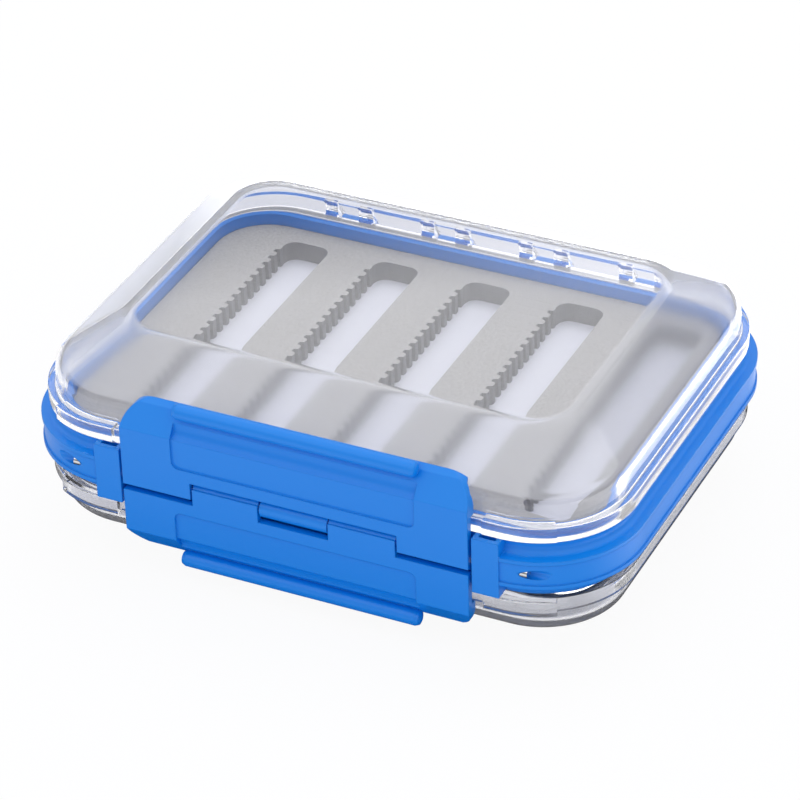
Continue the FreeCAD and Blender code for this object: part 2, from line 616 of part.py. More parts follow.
def build_latch(side, name):
    """Latch plate with hook, leaning top, grip bar and knuckles."""
    body = new_body(name)
    z = lambda height: flip(side, height)
    full = size("latch_x") * 2
    left = -size("latch_x")
    slab(body, "Pad", "plate", "YZ_Plane", left, full,
         lambda s: polygon(s, [("face_y", z(-size("leg_z"))), ("inner_y", z(-size("leg_z"))),
                               ("inner_y", z("hook_z")), ("hook_y", z("hook_z")),
                               ("hook_y", z("throat_z")), ("neck_y", z("neck_z")),
                               ("tip_in_y", z("tip_in_z")), ("tip_y", z("tip_z")),
                               ("lean_y", z("lean_z")), ("face_y", z("kink_z"))]))
    slab(body, "Pad", "knuckle", "YZ_Plane", left, full,
         lambda s: circle(s, ("pin_y", 0), "knuckle_r"))
    depth_start = -size("pin_y") - "hinge_z"
    depth = size("hinge_z") * 2
    step = size("step_x")
    low = z(-size("clear_z") - "over")
    if side > 0:
        cuts = [("middle_cut", [(-step, low), (step, low), (step, "clear_z"), (-step, "clear_z")])]
    else:
        edge = step - "step_gap"
        out = size("latch_x") + "over"
        cut_z = -size("clear_z")
        cuts = [
            ("left_cut", [(-out, cut_z), (-edge, cut_z), (-edge, low), (-out, low)]),
            ("right_cut", [(edge, cut_z), (out, cut_z), (out, low), (edge, low)]),
            ("centre_cut", [(-size("mid_x"), cut_z), ("mid_x", cut_z), ("mid_x", low), (-size("mid_x"), low)])]
    for label, points in cuts:
        slab(body, "Pocket", label, "XZ_Plane", depth_start, depth, lambda s: polygon(s, points))
    # Rounded free corners in the front view
    for hand, label in ((1, "right"), (-1, "left")):
        sketch = new_sketch(body, label + "_corner_sketch", "XZ_Plane", depth_start)
        radius = size("latch_r")
        cx = (size("latch_x") - radius) * hand
        cz = z(size("tip_z") - radius)
        far_x = (size("latch_x") + "over") * hand
        far_z = z(size("tip_z") + "over")
        start = 0 if hand * side > 0 else 90
        turn = {(1, 1): 0, (-1, 1): 90, (-1, -1): 180, (1, -1): 270}[(hand, side)]
        arc = Part.ArcOfCircle(Part.Circle(Vector(cx.value, cz.value, 0), Vector(0, 0, 1), radius.value),
                               math.radians(turn), math.radians(turn + 90))
        ends = [(cx + radius * hand, cz), (cx, cz + radius * side)]
        if start:
            ends.reverse()
        first, last = ends
        corner = [last, (last[0], far_z), (far_x, far_z), (far_x, first[1]), first]
        if start:
            corner = [last, (far_x, last[1]), (far_x, far_z), (first[0], far_z), first]
        sketch.addGeometry(arc, False)
        for p, q in zip(corner[:-1], corner[1:]):
            sketch.addGeometry(Part.LineSegment(Vector(p[0].value, p[1].value, 0),
                                                Vector(q[0].value, q[1].value, 0)), False)
        count = len(corner) - 1
        sketch.addConstraint(Sketcher.Constraint("Coincident", 0, 2, 1, 1))
        for i in range(1, count):
            sketch.addConstraint(Sketcher.Constraint("Coincident", i, 2, i + 1, 1))
        sketch.addConstraint(Sketcher.Constraint("Coincident", count, 2, 0, 1))
        place(sketch, 0, 3, (cx, cz))
        for i in range(1, count + 1):
            place(sketch, i, 1, corner[i - 1])
        doc.recompute()
        solid(body, "Pocket", label + "_corner", sketch, depth)
    # Grip: shallow recess, finger scoop and bar
    face = -size("face_y")
    near, far = z("panel_z0"), z("panel_z1")
    low_z, high_z = (near, far) if side > 0 else (far, near)
    slab(body, "Pocket", "grip_recess", "XZ_Plane", face - "panel_d", "panel_d",
         lambda s: rounded(s, -size("panel_x"), size("panel_x"), low_z, high_z, "panel_r"))
    slab(body, "Pocket", "finger_scoop", "YZ_Plane", -size("panel_x"), size("panel_x") * 2,
         lambda s: circle(s, ("scoop_y", z("scoop_z")), "scoop_r"))
    # The bar is turned about its own axis, with rounded ends
    sketch = new_sketch(body, "grip_bar_sketch", "XZ_Plane", -size("bar_y"))
    sketch.setExpression("AttachmentOffset.Base.y", z("bar_z").text)
    end, low = size("panel_x"), size("bar_r") - "bar_round"
    mid = size("bar_round") * 0.29
    polygon(sketch, [(-end, 0), (end, 0), (end, low), (end - mid, size("bar_r") - mid),
                     (end - "bar_round", "bar_r"), (-end + "bar_round", "bar_r"),
                     (-end + mid, size("bar_r") - mid), (-end, low)])
    doc.recompute()
    before = body.Shape.Volume
    bar = body.newObject("PartDesign::Revolution", "grip_bar")
    bar.Profile = sketch
    bar.ReferenceAxis = (sketch, ["H_Axis"])
    bar.Angle = 360
    bar.Refine = False
    sketch.Visibility = False
    doc.recompute()
    if body.Shape.Volume <= before:
        raise RuntimeError("the grip bar of %s added nothing" % name)
    # Pin bore with its running clearance
    slab(body, "Pocket", "pin_bore", "YZ_Plane", left - "over", full + size("over") * 2,
         lambda s: circle(s, ("pin_y", 0), size("pin_r") + "pin_fit"))
    return body


def build_rod(name, at, radius, spans):
    """Round steel pins along X."""
    body = new_body(name)
    for i, (start, length) in enumerate(spans):
        slab(body, "Pad", "rod_%d" % (i + 1), "YZ_Plane", start, length,
             lambda s: circle(s, at, radius))
    return body


bodies = [
    build_frame(),
    build_panel(),
    build_foam(1, "top_foam"),
    build_foam(-1, "bottom_foam"),
    build_seal(1, "top_seal"),
    build_seal(-1, "bottom_seal"),
    build_lid(1, "top_lid"),
    build_lid(-1, "bottom_lid"),
    build_latch(1, "upper_latch"),
    build_latch(-1, "lower_latch"),
    build_rod("latch_pin", ("pin_y", 0), "pin_r", [(-size("pin_x"), size("pin_x") * 2)]),
]


def pin_row(side, name):
    """Four equal hinge pins fused into one node."""
    rods = []
    for i, x in enumerate(HINGE_X):
        rod = doc.addObject("Part::Cylinder", "%s_%d" % (name, i + 1))
        rod.setExpression("Radius", size("hinge_pin_r").text)
        rod.setExpression("Height", size("hinge_pin_l").text)
        rod.Placement = FreeCAD.Placement(Vector(0, 0, 0), FreeCAD.Rotation(Vector(0, 1, 0), 90))
        rod.setExpression("Placement.Base.x", (x - size("hinge_pin_l") * 0.5).text)
        rod.setExpression("Placement.Base.y", size("hinge_y").text)
        rod.setExpression("Placement.Base.z", flip(side, "hinge_z").text)
        rods.append(rod)
    row = doc.addObject("Part::Compound", name)
    row.Label = name
    row.Links = rods
    doc.recompute()
    return row


bodies.append(pin_row(1, "top_hinge_pins"))
bodies.append(pin_row(-1, "bottom_hinge_pins"))
for body in bodies:
    body.setExpression("Placement.Base.z", "sizes.window_z")
doc.recompute()

for item in doc.Objects:
    if "Invalid" in item.State or "Error" in item.State:
        raise RuntimeError("%s is %s" % (item.Name, item.State))
for body in bodies:
    if body.Shape.isNull() or not body.Shape.isValid():
        raise RuntimeError("bad shape " + body.Label)
for body in bodies:
    body.Shape.exportStep("parts/%s.step" % body.Label)
    box = body.Shape.BoundBox
    print("%-18s solids %d volume %.1f x %.1f..%.1f y %.1f..%.1f z %.1f..%.1f" % (
        body.Label, len(body.Shape.Solids), body.Shape.Volume,
        box.XMin, box.XMax, box.YMin, box.YMax, box.ZMin, box.ZMax))
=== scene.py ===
"""Jig box: clear lids over slit foam, a blue frame and latches, on a plain studio floor."""

import logging
import math
from dataclasses import dataclass
from enum import Enum

import bpy
import numpy as np
from mathutils import Matrix, Vector


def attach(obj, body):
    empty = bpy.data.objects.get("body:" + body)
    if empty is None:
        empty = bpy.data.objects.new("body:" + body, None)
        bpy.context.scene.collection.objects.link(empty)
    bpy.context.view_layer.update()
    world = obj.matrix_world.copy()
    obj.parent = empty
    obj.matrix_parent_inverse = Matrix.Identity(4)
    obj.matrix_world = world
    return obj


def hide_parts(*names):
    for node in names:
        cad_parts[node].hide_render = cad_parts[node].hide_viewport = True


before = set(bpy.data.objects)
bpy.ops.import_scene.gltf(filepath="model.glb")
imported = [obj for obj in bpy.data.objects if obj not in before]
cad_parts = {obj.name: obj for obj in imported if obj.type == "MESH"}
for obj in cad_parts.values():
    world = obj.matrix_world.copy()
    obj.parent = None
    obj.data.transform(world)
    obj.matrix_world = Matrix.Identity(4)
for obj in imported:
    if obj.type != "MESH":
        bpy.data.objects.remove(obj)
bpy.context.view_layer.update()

MM = 0.001
MID_Z = 21.6

logging.basicConfig(level=logging.INFO, format="%(message)s")
log = logging.getLogger("jig_box")


class Half(Enum):
    """The two mirrored halves of the box."""

    TOP = 1
    BOTTOM = -1


# Colours and materials


def linear(hex_colour: str) -> tuple[float, float, float, float]:
    """Turn an sRGB hex colour into linear RGBA.

    Args:
        hex_colour: six hex digits, such as "2E86E4".

    Returns:
        Linear red, green, blue and an alpha of one.
    """
    srgb = [int(hex_colour[i:i + 2], 16) / 255 for i in (0, 2, 4)]
    rgb = [c / 12.92 if c <= 0.04045 else ((c + 0.055) / 1.055) ** 2.4 for c in srgb]
    return (*rgb, 1.0)


def add_node(tree: bpy.types.NodeTree, kind: str, links: dict | None = None, **settings) -> bpy.types.Node:
    """Add one shader node, set its values and link its inputs.

    Args:
        tree: the node tree to add to.
        kind: the node's type name without the ShaderNode prefix.
        links: input name or index to the output socket that feeds it.
        settings: properties of the node, or values of its inputs by name.

    Returns:
        The new node.
    """
    node = tree.nodes.new("ShaderNode" + kind)
    for name, value in settings.items():
        if hasattr(node, name):
            setattr(node, name, value)
        else:
            node.inputs[name.replace("_", " ")].default_value = value
    for name, socket in (links or {}).items():
        tree.links.new(socket, node.inputs[name])
    return node


def new_material(name: str) -> tuple[bpy.types.Material, bpy.types.NodeTree, bpy.types.Node]:
    """Make an empty node material.

    Args:
        name: the material's name.

    Returns:
        The material, its node tree and its output node.
    """
    material = bpy.data.materials.new(name)
    material.use_nodes = True
    material.node_tree.nodes.clear()
    output = material.node_tree.nodes.new("ShaderNodeOutputMaterial")
    return material, material.node_tree, output


@dataclass(frozen=True)
class MouldedBlue:
    """Injection moulded ABS: an even saturated blue with a fine satin grain."""

    name: str = "moulded_blue_abs"
    colour: str = "007FE1"
    roughness: float = 0.34
    grain_mm: float = 0.45
    edge_mm: float = 0.28

    def build(self) -> bpy.types.Material:
        """Make the material, with softly rounded edges and a fine grain."""
        material, tree, output = new_material(self.name)
        place = add_node(tree, "TexCoord")
        grain = add_node(tree, "TexNoise", {"Vector": place.outputs["Object"]},
                         Scale=1.0 / (self.grain_mm * MM), Detail=2.0)
        rounding = add_node(tree, "Bevel", samples=6, Radius=self.edge_mm * MM)
        bump = add_node(tree, "Bump", {"Height": grain.outputs[0], "Normal": rounding.outputs[0]},
                        Strength=0.06, Distance=0.0001)
        shader = add_node(tree, "BsdfPrincipled", {"Normal": bump.outputs[0]},
                          Base_Color=linear(self.colour), Roughness=self.roughness, IOR=1.46)
        tree.links.new(shader.outputs[0], output.inputs[0])
        return material


@dataclass(frozen=True)
class ClearMoulding:
    """Moulded clear polycarbonate: nearly colourless, glossy, and faintly hazy where thick."""

    name: str = "clear_polycarbonate"
    colour: str = "FCFCFE"
    roughness: float = 0.01
    frost: float = 0.23
    frost_colour: str = "EEEFF5"
    haze: tuple[float, float] = (0.0, 0.2)
    ior: float = 1.5
    last_bounce: float = 5.0
    last_gloss: float = 2.0

    def build(self) -> bpy.types.Material:
        """Make the material, frosted where the mesh says so.

        Shadow rays pass it, so that the lamps reach the foam, and so do rays that have
        turned inside it many times, which would otherwise end in black.
        """
        material, tree, output = new_material(self.name)
        frost = add_node(tree, "Attribute", attribute_name="frost")
        rough = add_node(tree, "MapRange", {"Value": frost.outputs["Fac"]})
        rough.inputs["To Min"].default_value = self.roughness
        rough.inputs["To Max"].default_value = self.frost
        tint = add_node(tree, "Mix", {0: frost.outputs["Fac"]}, data_type="RGBA")
        tint.inputs[6].default_value = linear(self.colour)
        tint.inputs[7].default_value = linear(self.frost_colour)
        glass = add_node(tree, "BsdfPrincipled", {"Roughness": rough.outputs[0], "Base Color": tint.outputs[2]},
                         IOR=self.ior, Transmission_Weight=1.0)
        # The textured bevel scatters some of the light
        milk = add_node(tree, "MapRange", {"Value": frost.outputs["Fac"]})
        milk.inputs["To Min"].default_value, milk.inputs["To Max"].default_value = self.haze
        scatter = add_node(tree, "BsdfDiffuse", Color=linear("F6F7FC"))
        shader = add_node(tree, "MixShader", {0: milk.outputs[0], 1: glass.outputs[0], 2: scatter.outputs[0]})
        path = add_node(tree, "LightPath")
        late = add_node(tree, "Math", {0: path.outputs["Ray Depth"]}, operation="GREATER_THAN")
        late.inputs[1].default_value = self.last_bounce
        trapped = add_node(tree, "Math", {0: path.outputs["Glossy Depth"]}, operation="GREATER_THAN")
        trapped.inputs[1].default_value = self.last_gloss
        ending = add_node(tree, "Math", {0: late.outputs[0], 1: trapped.outputs[0]}, operation="MAXIMUM")
        passed = add_node(tree, "Math", {0: path.outputs["Is Shadow Ray"], 1: ending.outputs[0]},
                          operation="MAXIMUM")
        passing = add_node(tree, "BsdfTransparent", Color=(0.98, 0.98, 0.985, 1.0))
        mix = add_node(tree, "MixShader", {0: passed.outputs[0],
                                           1: shader.outputs[0], 2: passing.outputs[0]})
        tree.links.new(mix.outputs[0], output.inputs[0])
        return material


@dataclass(frozen=True)
class GreyFoam:
    """Cut closed-cell EVA foam: matt warm grey with fine pores that catch the light."""

    name: str = "closed_cell_foam"
    colour: str = "B3B2B2"
    dark: str = "A1A0A0"
    # Painted shade colour of the upright slot walls
    cut: str = "8A8A8E"
    pore_mm: float = 0.5

    def build(self) -> bpy.types.Material:
        """Make the material, with pores as a bump, a small change of tone, and painted shade on the upright slot
        walls.
        """
        material, tree, output = new_material(self.name)
        place = add_node(tree, "TexCoord")
        pores = add_node(tree, "TexNoise", {"Vector": place.outputs["Object"]},
                         Scale=1.0 / (self.pore_mm * MM), Detail=3.0, Roughness=0.6)
        tone = add_node(tree, "MapRange", {"Value": pores.outputs[0]})
        tone.inputs["From Min"].default_value = 0.35
        tone.inputs["From Max"].default_value = 0.65
        colour = add_node(tree, "Mix", {0: tone.outputs[0]}, data_type="RGBA")
        colour.inputs[6].default_value = linear(self.dark)
        colour.inputs[7].default_value = linear(self.colour)
        # The cut walls of the slots are painted darker than the top skin, by how upright they stand: painted shade
        # for the light that reaches them less
        facing = add_node(tree, "SeparateXYZ", {0: add_node(tree, "NewGeometry").outputs["True Normal"]})
        upright = add_node(tree, "Math", {0: facing.outputs[2]}, operation="ABSOLUTE")
        skin = add_node(tree, "Mix", {0: upright.outputs[0], 7: colour.outputs[2]}, data_type="RGBA")
        skin.inputs[6].default_value = linear(self.cut)
        bump = add_node(tree, "Bump", {"Height": pores.outputs[0]}, Strength=0.35, Distance=0.0002)
        shader = add_node(tree, "BsdfPrincipled",
                          {"Normal": bump.outputs[0], "Base Color": skin.outputs[2]},
                          Roughness=0.95, IOR=1.4)
        shader.inputs["Specular IOR Level"].default_value = 0.15
        tree.links.new(shader.outputs[0], output.inputs[0])
        return material


@dataclass(frozen=True)
class PlainFinish:
    """An even finish: white sheet, silicone or polished wire."""

    name: str
    colour: str
    roughness: float
    metallic: float = 0.0
    ior: float = 1.5

    def build(self) -> bpy.types.Material:
        """Make the material from a single shader."""
        material, tree, output = new_material(self.name)
        shader = add_node(tree, "BsdfPrincipled", Base_Color=linear(self.colour),
                          Roughness=self.roughness, Metallic=self.metallic, IOR=self.ior)
        tree.links.new(shader.outputs[0], output.inputs[0])
        return material


# Geometry helpers


def new_piece(name: str, points: np.ndarray, faces: list, material: bpy.types.Material,
              sharp_deg: float = 35.0) -> bpy.types.Object:
    """Make a mesh object from points in millimetres.

    Args:
        name: the object's name.
        points: an array of N by 3 in millimetres, in the row frame.
        faces: lists or rows of point indices.
        material: the piece's material.
        sharp_deg: edges that turn by more than this are drawn sharp.

    Returns:
        The linked object, smooth shaded, at the origin.
    """
    mesh = bpy.data.meshes.new(name)
    mesh.from_pydata((points * MM).tolist(), [], [list(map(int, f)) for f in faces])
    mesh.validate()
    mesh.polygons.foreach_set("use_smooth", np.ones(len(mesh.polygons), dtype=bool))
    mesh.set_sharp_from_angle(angle=math.radians(sharp_deg))
    mesh.materials.append(material)
    piece = bpy.data.objects.new(name, mesh)
    bpy.context.scene.collection.objects.link(piece)
    return piece


def rounded_path(corners: np.ndarray, cuts: list[float], steps: int = 7) -> np.ndarray:
    """Round the inner corners of a path of any dimension.

    Each corner P between neighbours A and B is replaced by the parabola that leaves
    the side PA at the cut distance from P and meets the side PB at the same distance.

    Args:
        corners: K by D array of corner points.
        cuts: the cut distance at each corner, zero to keep it sharp.
        steps: points on each rounding.

    Returns:
        The rounded path as an array of points.
    """
    out = [corners[:1]]
    t = np.linspace(0, 1, steps)[:, None]
    for i in range(1, len(corners) - 1):
        if cuts[i] == 0:
            out.append(corners[i:i + 1])
            continue
        before, here, after = corners[i - 1], corners[i], corners[i + 1]
        p = here + (before - here) * cuts[i] / np.linalg.norm(before - here)
        q = here + (after - here) * cuts[i] / np.linalg.norm(after - here)
        out.append((1 - t) ** 2 * p + 2 * t * (1 - t) * here + t ** 2 * q)
    out.append(corners[-1:])
    return np.vstack(out)


def closed_grid(rows: int, columns: int) -> np.ndarray:
    """Quads of a grid whose columns close into a loop.

    Args:
        rows: number of rows of points.
        columns: number of points round each row.

    Returns:
        An array of quads, (rows - 1) * columns by 4.
    """
    r, c = np.meshgrid(np.arange(rows - 1), np.arange(columns), indexing="ij")
    n = (c + 1) % columns
    quads = np.stack([r * columns + c, r * columns + n, (r + 1) * columns + n, (r + 1) * columns + c], -1)
    return quads.reshape(-1, 4)


# The clear lids


@dataclass
class Lid:
    """One clear lid: flange, tabs, hinge cheeks, wall, bevel and window as a single shell."""

    half: Half
    wall: tuple[float, float, float] = (57.9, 43.8, 17.2)
    foot_z: float = 6.1
    flange_out: float = 1.5
    flange_z: float = 9.2
    tab_out: float = 2.35
    tab_foot: float = 6.6
    tab_z: float = 9.7
    tab_x: tuple[float, float] = (37.5, 51.0)
    notch_out: float = 0.8
    hinge_y: float = 46.4
    hinge_z: float = 3.8
    cheek_r: float = 2.2
    cheek_top: tuple[float, float] = (45.1, 9.6)
    unit_x: tuple[float, ...] = (-32.1, -10.7, 10.7, 32.1)
    unit_gap: float = 2.35
    unit_out: float = 5.25
    lip: tuple[float, float, float] = (56.2, 41.6, 13.5)
    step_mm: float = 0.1
    band: int = 34
    frost_a: float = 44.0
    frost_z: float = 12.9
    wall_frost: float = 0.3
    frost: np.ndarray | None = None

    def stations_along(self) -> tuple[np.ndarray, np.ndarray, np.ndarray, np.ndarray]:
        """Places round the outline.

        A place is (ux, uy, angle): its point on an outline of half sizes a, b and corner
        radius r is ((a - r) ux + r cos(angle), (b - r) uy + r sin(angle)).

        Returns:
            ux, uy, angle and the kind of flange at each place (0 plain, 1 tab, 2 cheek, 3 notch).
        """
        reach = self.wall[0] - self.wall[2]
        s = self.step_mm / 2
        ux, uy, turn, kind = [], [], [], []

        def add(x: float, y: float, angle: float, what: int) -> None:
            ux.append(x), uy.append(y), turn.append(angle), kind.append(what)

        # Front side from left to right, with the start of each tab
        xs = list(np.linspace(-reach, reach, 40))
        for edge in (-self.tab_x[0], self.tab_x[0]):
            xs = [x for x in xs if abs(x - edge) > 0.6] + [edge - s, edge + s]
        for x in sorted(xs):
            add(x / reach, -1, -math.pi / 2, 1 if abs(x) > self.tab_x[0] else 0)
        # Front right corner, with the end of its tab
        r_out = self.wall[2] + self.tab_out
        end = math.asin((self.tab_x[1] - reach) / r_out)
        ds = s / r_out
        angles = [a for a in np.linspace(0, math.pi / 2, 26)[1:-1] if abs(a - end) > 0.02] + [end - ds, end + ds]
        corner = sorted(angles)
        for a in corner:
            add(1, -1, a - math.pi / 2, 1 if a < end else 0)
        for y in np.linspace(-1, 1, 24):
            add(1, y, 0.0, 0)
        for a in np.linspace(0, math.pi / 2, 26)[1:-1]:
            add(1, 1, a, 0)
        # Back side from right to left, with cheeks and notches
        marks = []
        for centre in self.unit_x:
            marks += [centre - self.unit_out, centre - self.unit_gap, centre + self.unit_gap, centre + self.unit_out]
        xs = [x for x in np.linspace(-reach, reach, 60) if min(abs(x - m) for m in marks) > 0.4]
        xs += [m - s for m in marks] + [m + s for m in marks]
        for x in sorted(xs, reverse=True):
            away = min(abs(x - c) for c in self.unit_x)
            add(x / reach, 1, math.pi / 2, 3 if away < self.unit_gap else 2 if away < self.unit_out else 0)
        for a in np.linspace(0, math.pi / 2, 26)[1:-1]:
            add(-1, 1, a + math.pi / 2, 0)
        for y in np.linspace(1, -1, 24):
            add(-1, y, math.pi, 0)
        for a in reversed(corner):
            add(-1, -1, 3 * math.pi / 2 - a, 1 if a < end else 0)
        return np.array(ux), np.array(uy), np.array(turn), np.array(kind)

    def flange_band(self, out: float, foot: float, top: float) -> np.ndarray:
        """Cross-section of the flange as (offset from the wall, height).

        A rounded path from the foot's inner side, out along the underside, up the
        outer face and back to the wall.

        Args:
            out: how far the flange stands out of the wall.
            foot: height of its underside at the outer edge.
            top: height of its upper face.

        Returns:
            An array of band by 2.
        """
        corners = np.array([[-0.9, self.foot_z], [out - 0.9, self.foot_z], [out - 0.6, foot], [out, foot],
                            [out, top], [0.0, top], [-0.02, top + 0.8]])
        path = rounded_path(corners, [0, 0, 0, 0.22, 0.3, 0.25, 0], 8)
        return self.resample(path)

    def cheek_band(self) -> np.ndarray:
        """Cross-section of a hinge cheek: down, round the pin and back up to the wall.

        Returns:
            An array of band by 2, as offsets from the wall and heights.
        """
        o = self.hinge_y - self.wall[1]
        angles = np.radians(np.linspace(180, 372, 18))
        ring = np.stack([o + self.cheek_r * np.cos(angles), self.hinge_z + self.cheek_r * np.sin(angles)], 1)
        path = np.vstack([[[-0.9, self.foot_z], [o - self.cheek_r, self.foot_z]], ring,
                          [[self.cheek_top[0] - self.wall[1] + 0.1, self.cheek_top[1] - 0.35],
                           [self.cheek_top[0] - self.wall[1] - 0.25, self.cheek_top[1]],
                           [-0.02, self.cheek_top[1]], [-0.06, self.cheek_top[1] + 0.3]]])
        return self.resample(path)

    def resample(self, path: np.ndarray) -> np.ndarray:
        """Spread band points along a path, keeping its own points where they fit.

        Args:
            path: K by 2 array, K no more than the band's count.

        Returns:
            The path with extra points put into its longest sides.
        """
        path = [p for p in path]
        while len(path) < self.band:
            gaps = [np.linalg.norm(path[i + 1] - path[i]) for i in range(len(path) - 1)]
            k = int(np.argmax(gaps))
            path.insert(k + 1, (path[k] + path[k + 1]) / 2)
        return np.array(path)

    def outline(self, a: np.ndarray, b: np.ndarray, r: np.ndarray, where: tuple) -> np.ndarray:
        """Points of rounded rectangles at the given places.

        Args:
            a: half length, one per row, or one per row and place.
            b: half depth.
            r: corner radius.
            where: ux, uy and angle of each place.

        Returns:
            Rows by places by 2.
        """
        ux, uy, turn = where
        x = (a - r) * ux + r * np.cos(turn)
        y = (b - r) * uy + r * np.sin(turn)
        return np.stack([x, y], -1)

    def shell(self) -> tuple[np.ndarray, list]:
        """The whole skin: inner foot, flange band, wall, bevel, window edge, then the inside.

        Returns:
            Points in millimetres about the middle plane, and faces.
        """
        ux, uy, turn, kind = self.stations_along()
        where = (ux, uy, turn)
        count = len(ux)
        bands = np.stack([self.flange_band(self.flange_out, self.foot_z, self.flange_z),
                          self.flange_band(self.tab_out, self.tab_foot, self.tab_z),
                          self.cheek_band(),
                          self.flange_band(self.notch_out, self.foot_z, self.flange_z)])
        # Rows of the flange: offset and height chosen by the kind of place
        offset = bands[kind, :, 0].T
        height = bands[kind, :, 1].T
        a0, b0, r0 = self.wall
        xy = self.outline(a0 + offset, b0 + offset, r0 + offset, where)
        rows = [np.concatenate([xy, height[..., None]], -1)]
        # Outer wall, shoulder, bevel and window edge as a rounded path in (a, b, r, z)
        top = bands[kind, -1, 1]
        outer = np.array([[57.86, 43.74, 17.1, 10.4], [57.35, 43.2, 15.9, 14.15],
                          [45.9, 29.85, 8.1, 21.6], [43.5, 27.4, 6.6, 21.6]])
        outer = rounded_path(outer, [0, 2.3, 1.5, 0], 12)
        xy = self.outline(outer[:, :1], outer[:, 1:2], outer[:, 2:3], where)
        rows.append(np.concatenate([xy, np.broadcast_to(outer[:, 3, None, None], xy.shape[:2] + (1,))], -1))
        # Inside, from the window down to the foot
        inner = np.array([[41.5, 25.4, 6.0, 20.0], [45.2, 29.15, 7.8, 20.0],
                          [55.85, 41.3, 13.4, 12.95], [56.0, 41.5, 13.6, 11.0], [56.2, 41.6, 13.5, 6.1]])
        inner = self.resample(rounded_path(inner, [0, 0.8, 1.2, 0, 0], 7))
        frosted = (inner[:, 0] > self.frost_a) & (inner[:, 3] > self.frost_z)
        self.frost = np.where(frosted, 1.0, np.where(inner[:, 3] < self.frost_z, self.wall_frost, 0.0))
        xy = self.outline(inner[:, :1], inner[:, 1:2], inner[:, 2:3], where)
        inside = np.concatenate([xy, np.broadcast_to(inner[:, 3, None, None], xy.shape[:2] + (1,))], -1)
        outside = np.concatenate(rows)
        points = np.concatenate([outside, inside]).reshape(-1, 3)
        n_out, n_in = len(outside), len(inside)
        faces = closed_grid(n_out, count).tolist()
        shift = n_out * count
        faces += (closed_grid(n_in, count) + shift).tolist()
        # Join the foot: last inner row to first outer row, and close both windows
        last = shift + (n_in - 1) * count
        c = np.arange(count)
        n = (c + 1) % count
        faces += np.stack([last + c, last + n, n, c], -1).tolist()
        faces.append((shift - count + c).tolist())
        faces.append((shift + c[::-1]).tolist())
        return points, faces

    def build(self, material: bpy.types.Material) -> bpy.types.Object:
        """Make the lid and put it in the CAD lid's place.

        Args:
            material: the clear finish.

        Returns:
            The finished piece.
        """
        name = "top_lid" if self.half is Half.TOP else "bottom_lid"
        points, faces = self.shell()
        if self.half is Half.BOTTOM:
            points = points * [1, 1, -1]
            faces = [f[::-1] for f in faces]
        points = points + [0, 0, MID_Z]
        piece = new_piece("clear_" + name, points, faces, material, 40)
        # The outer skin is polished, and each inner row has its own share of frost
        inner = np.repeat(self.frost, len(self.stations_along()[0]))
        frost = np.concatenate([np.zeros(len(points) - len(inner)), inner])
        values = piece.data.attributes.new("frost", "FLOAT", "POINT")
        values.data.foreach_set("value", frost.astype(np.float32))
        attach(piece, name)
        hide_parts(name)
        return piece


# The slit foam


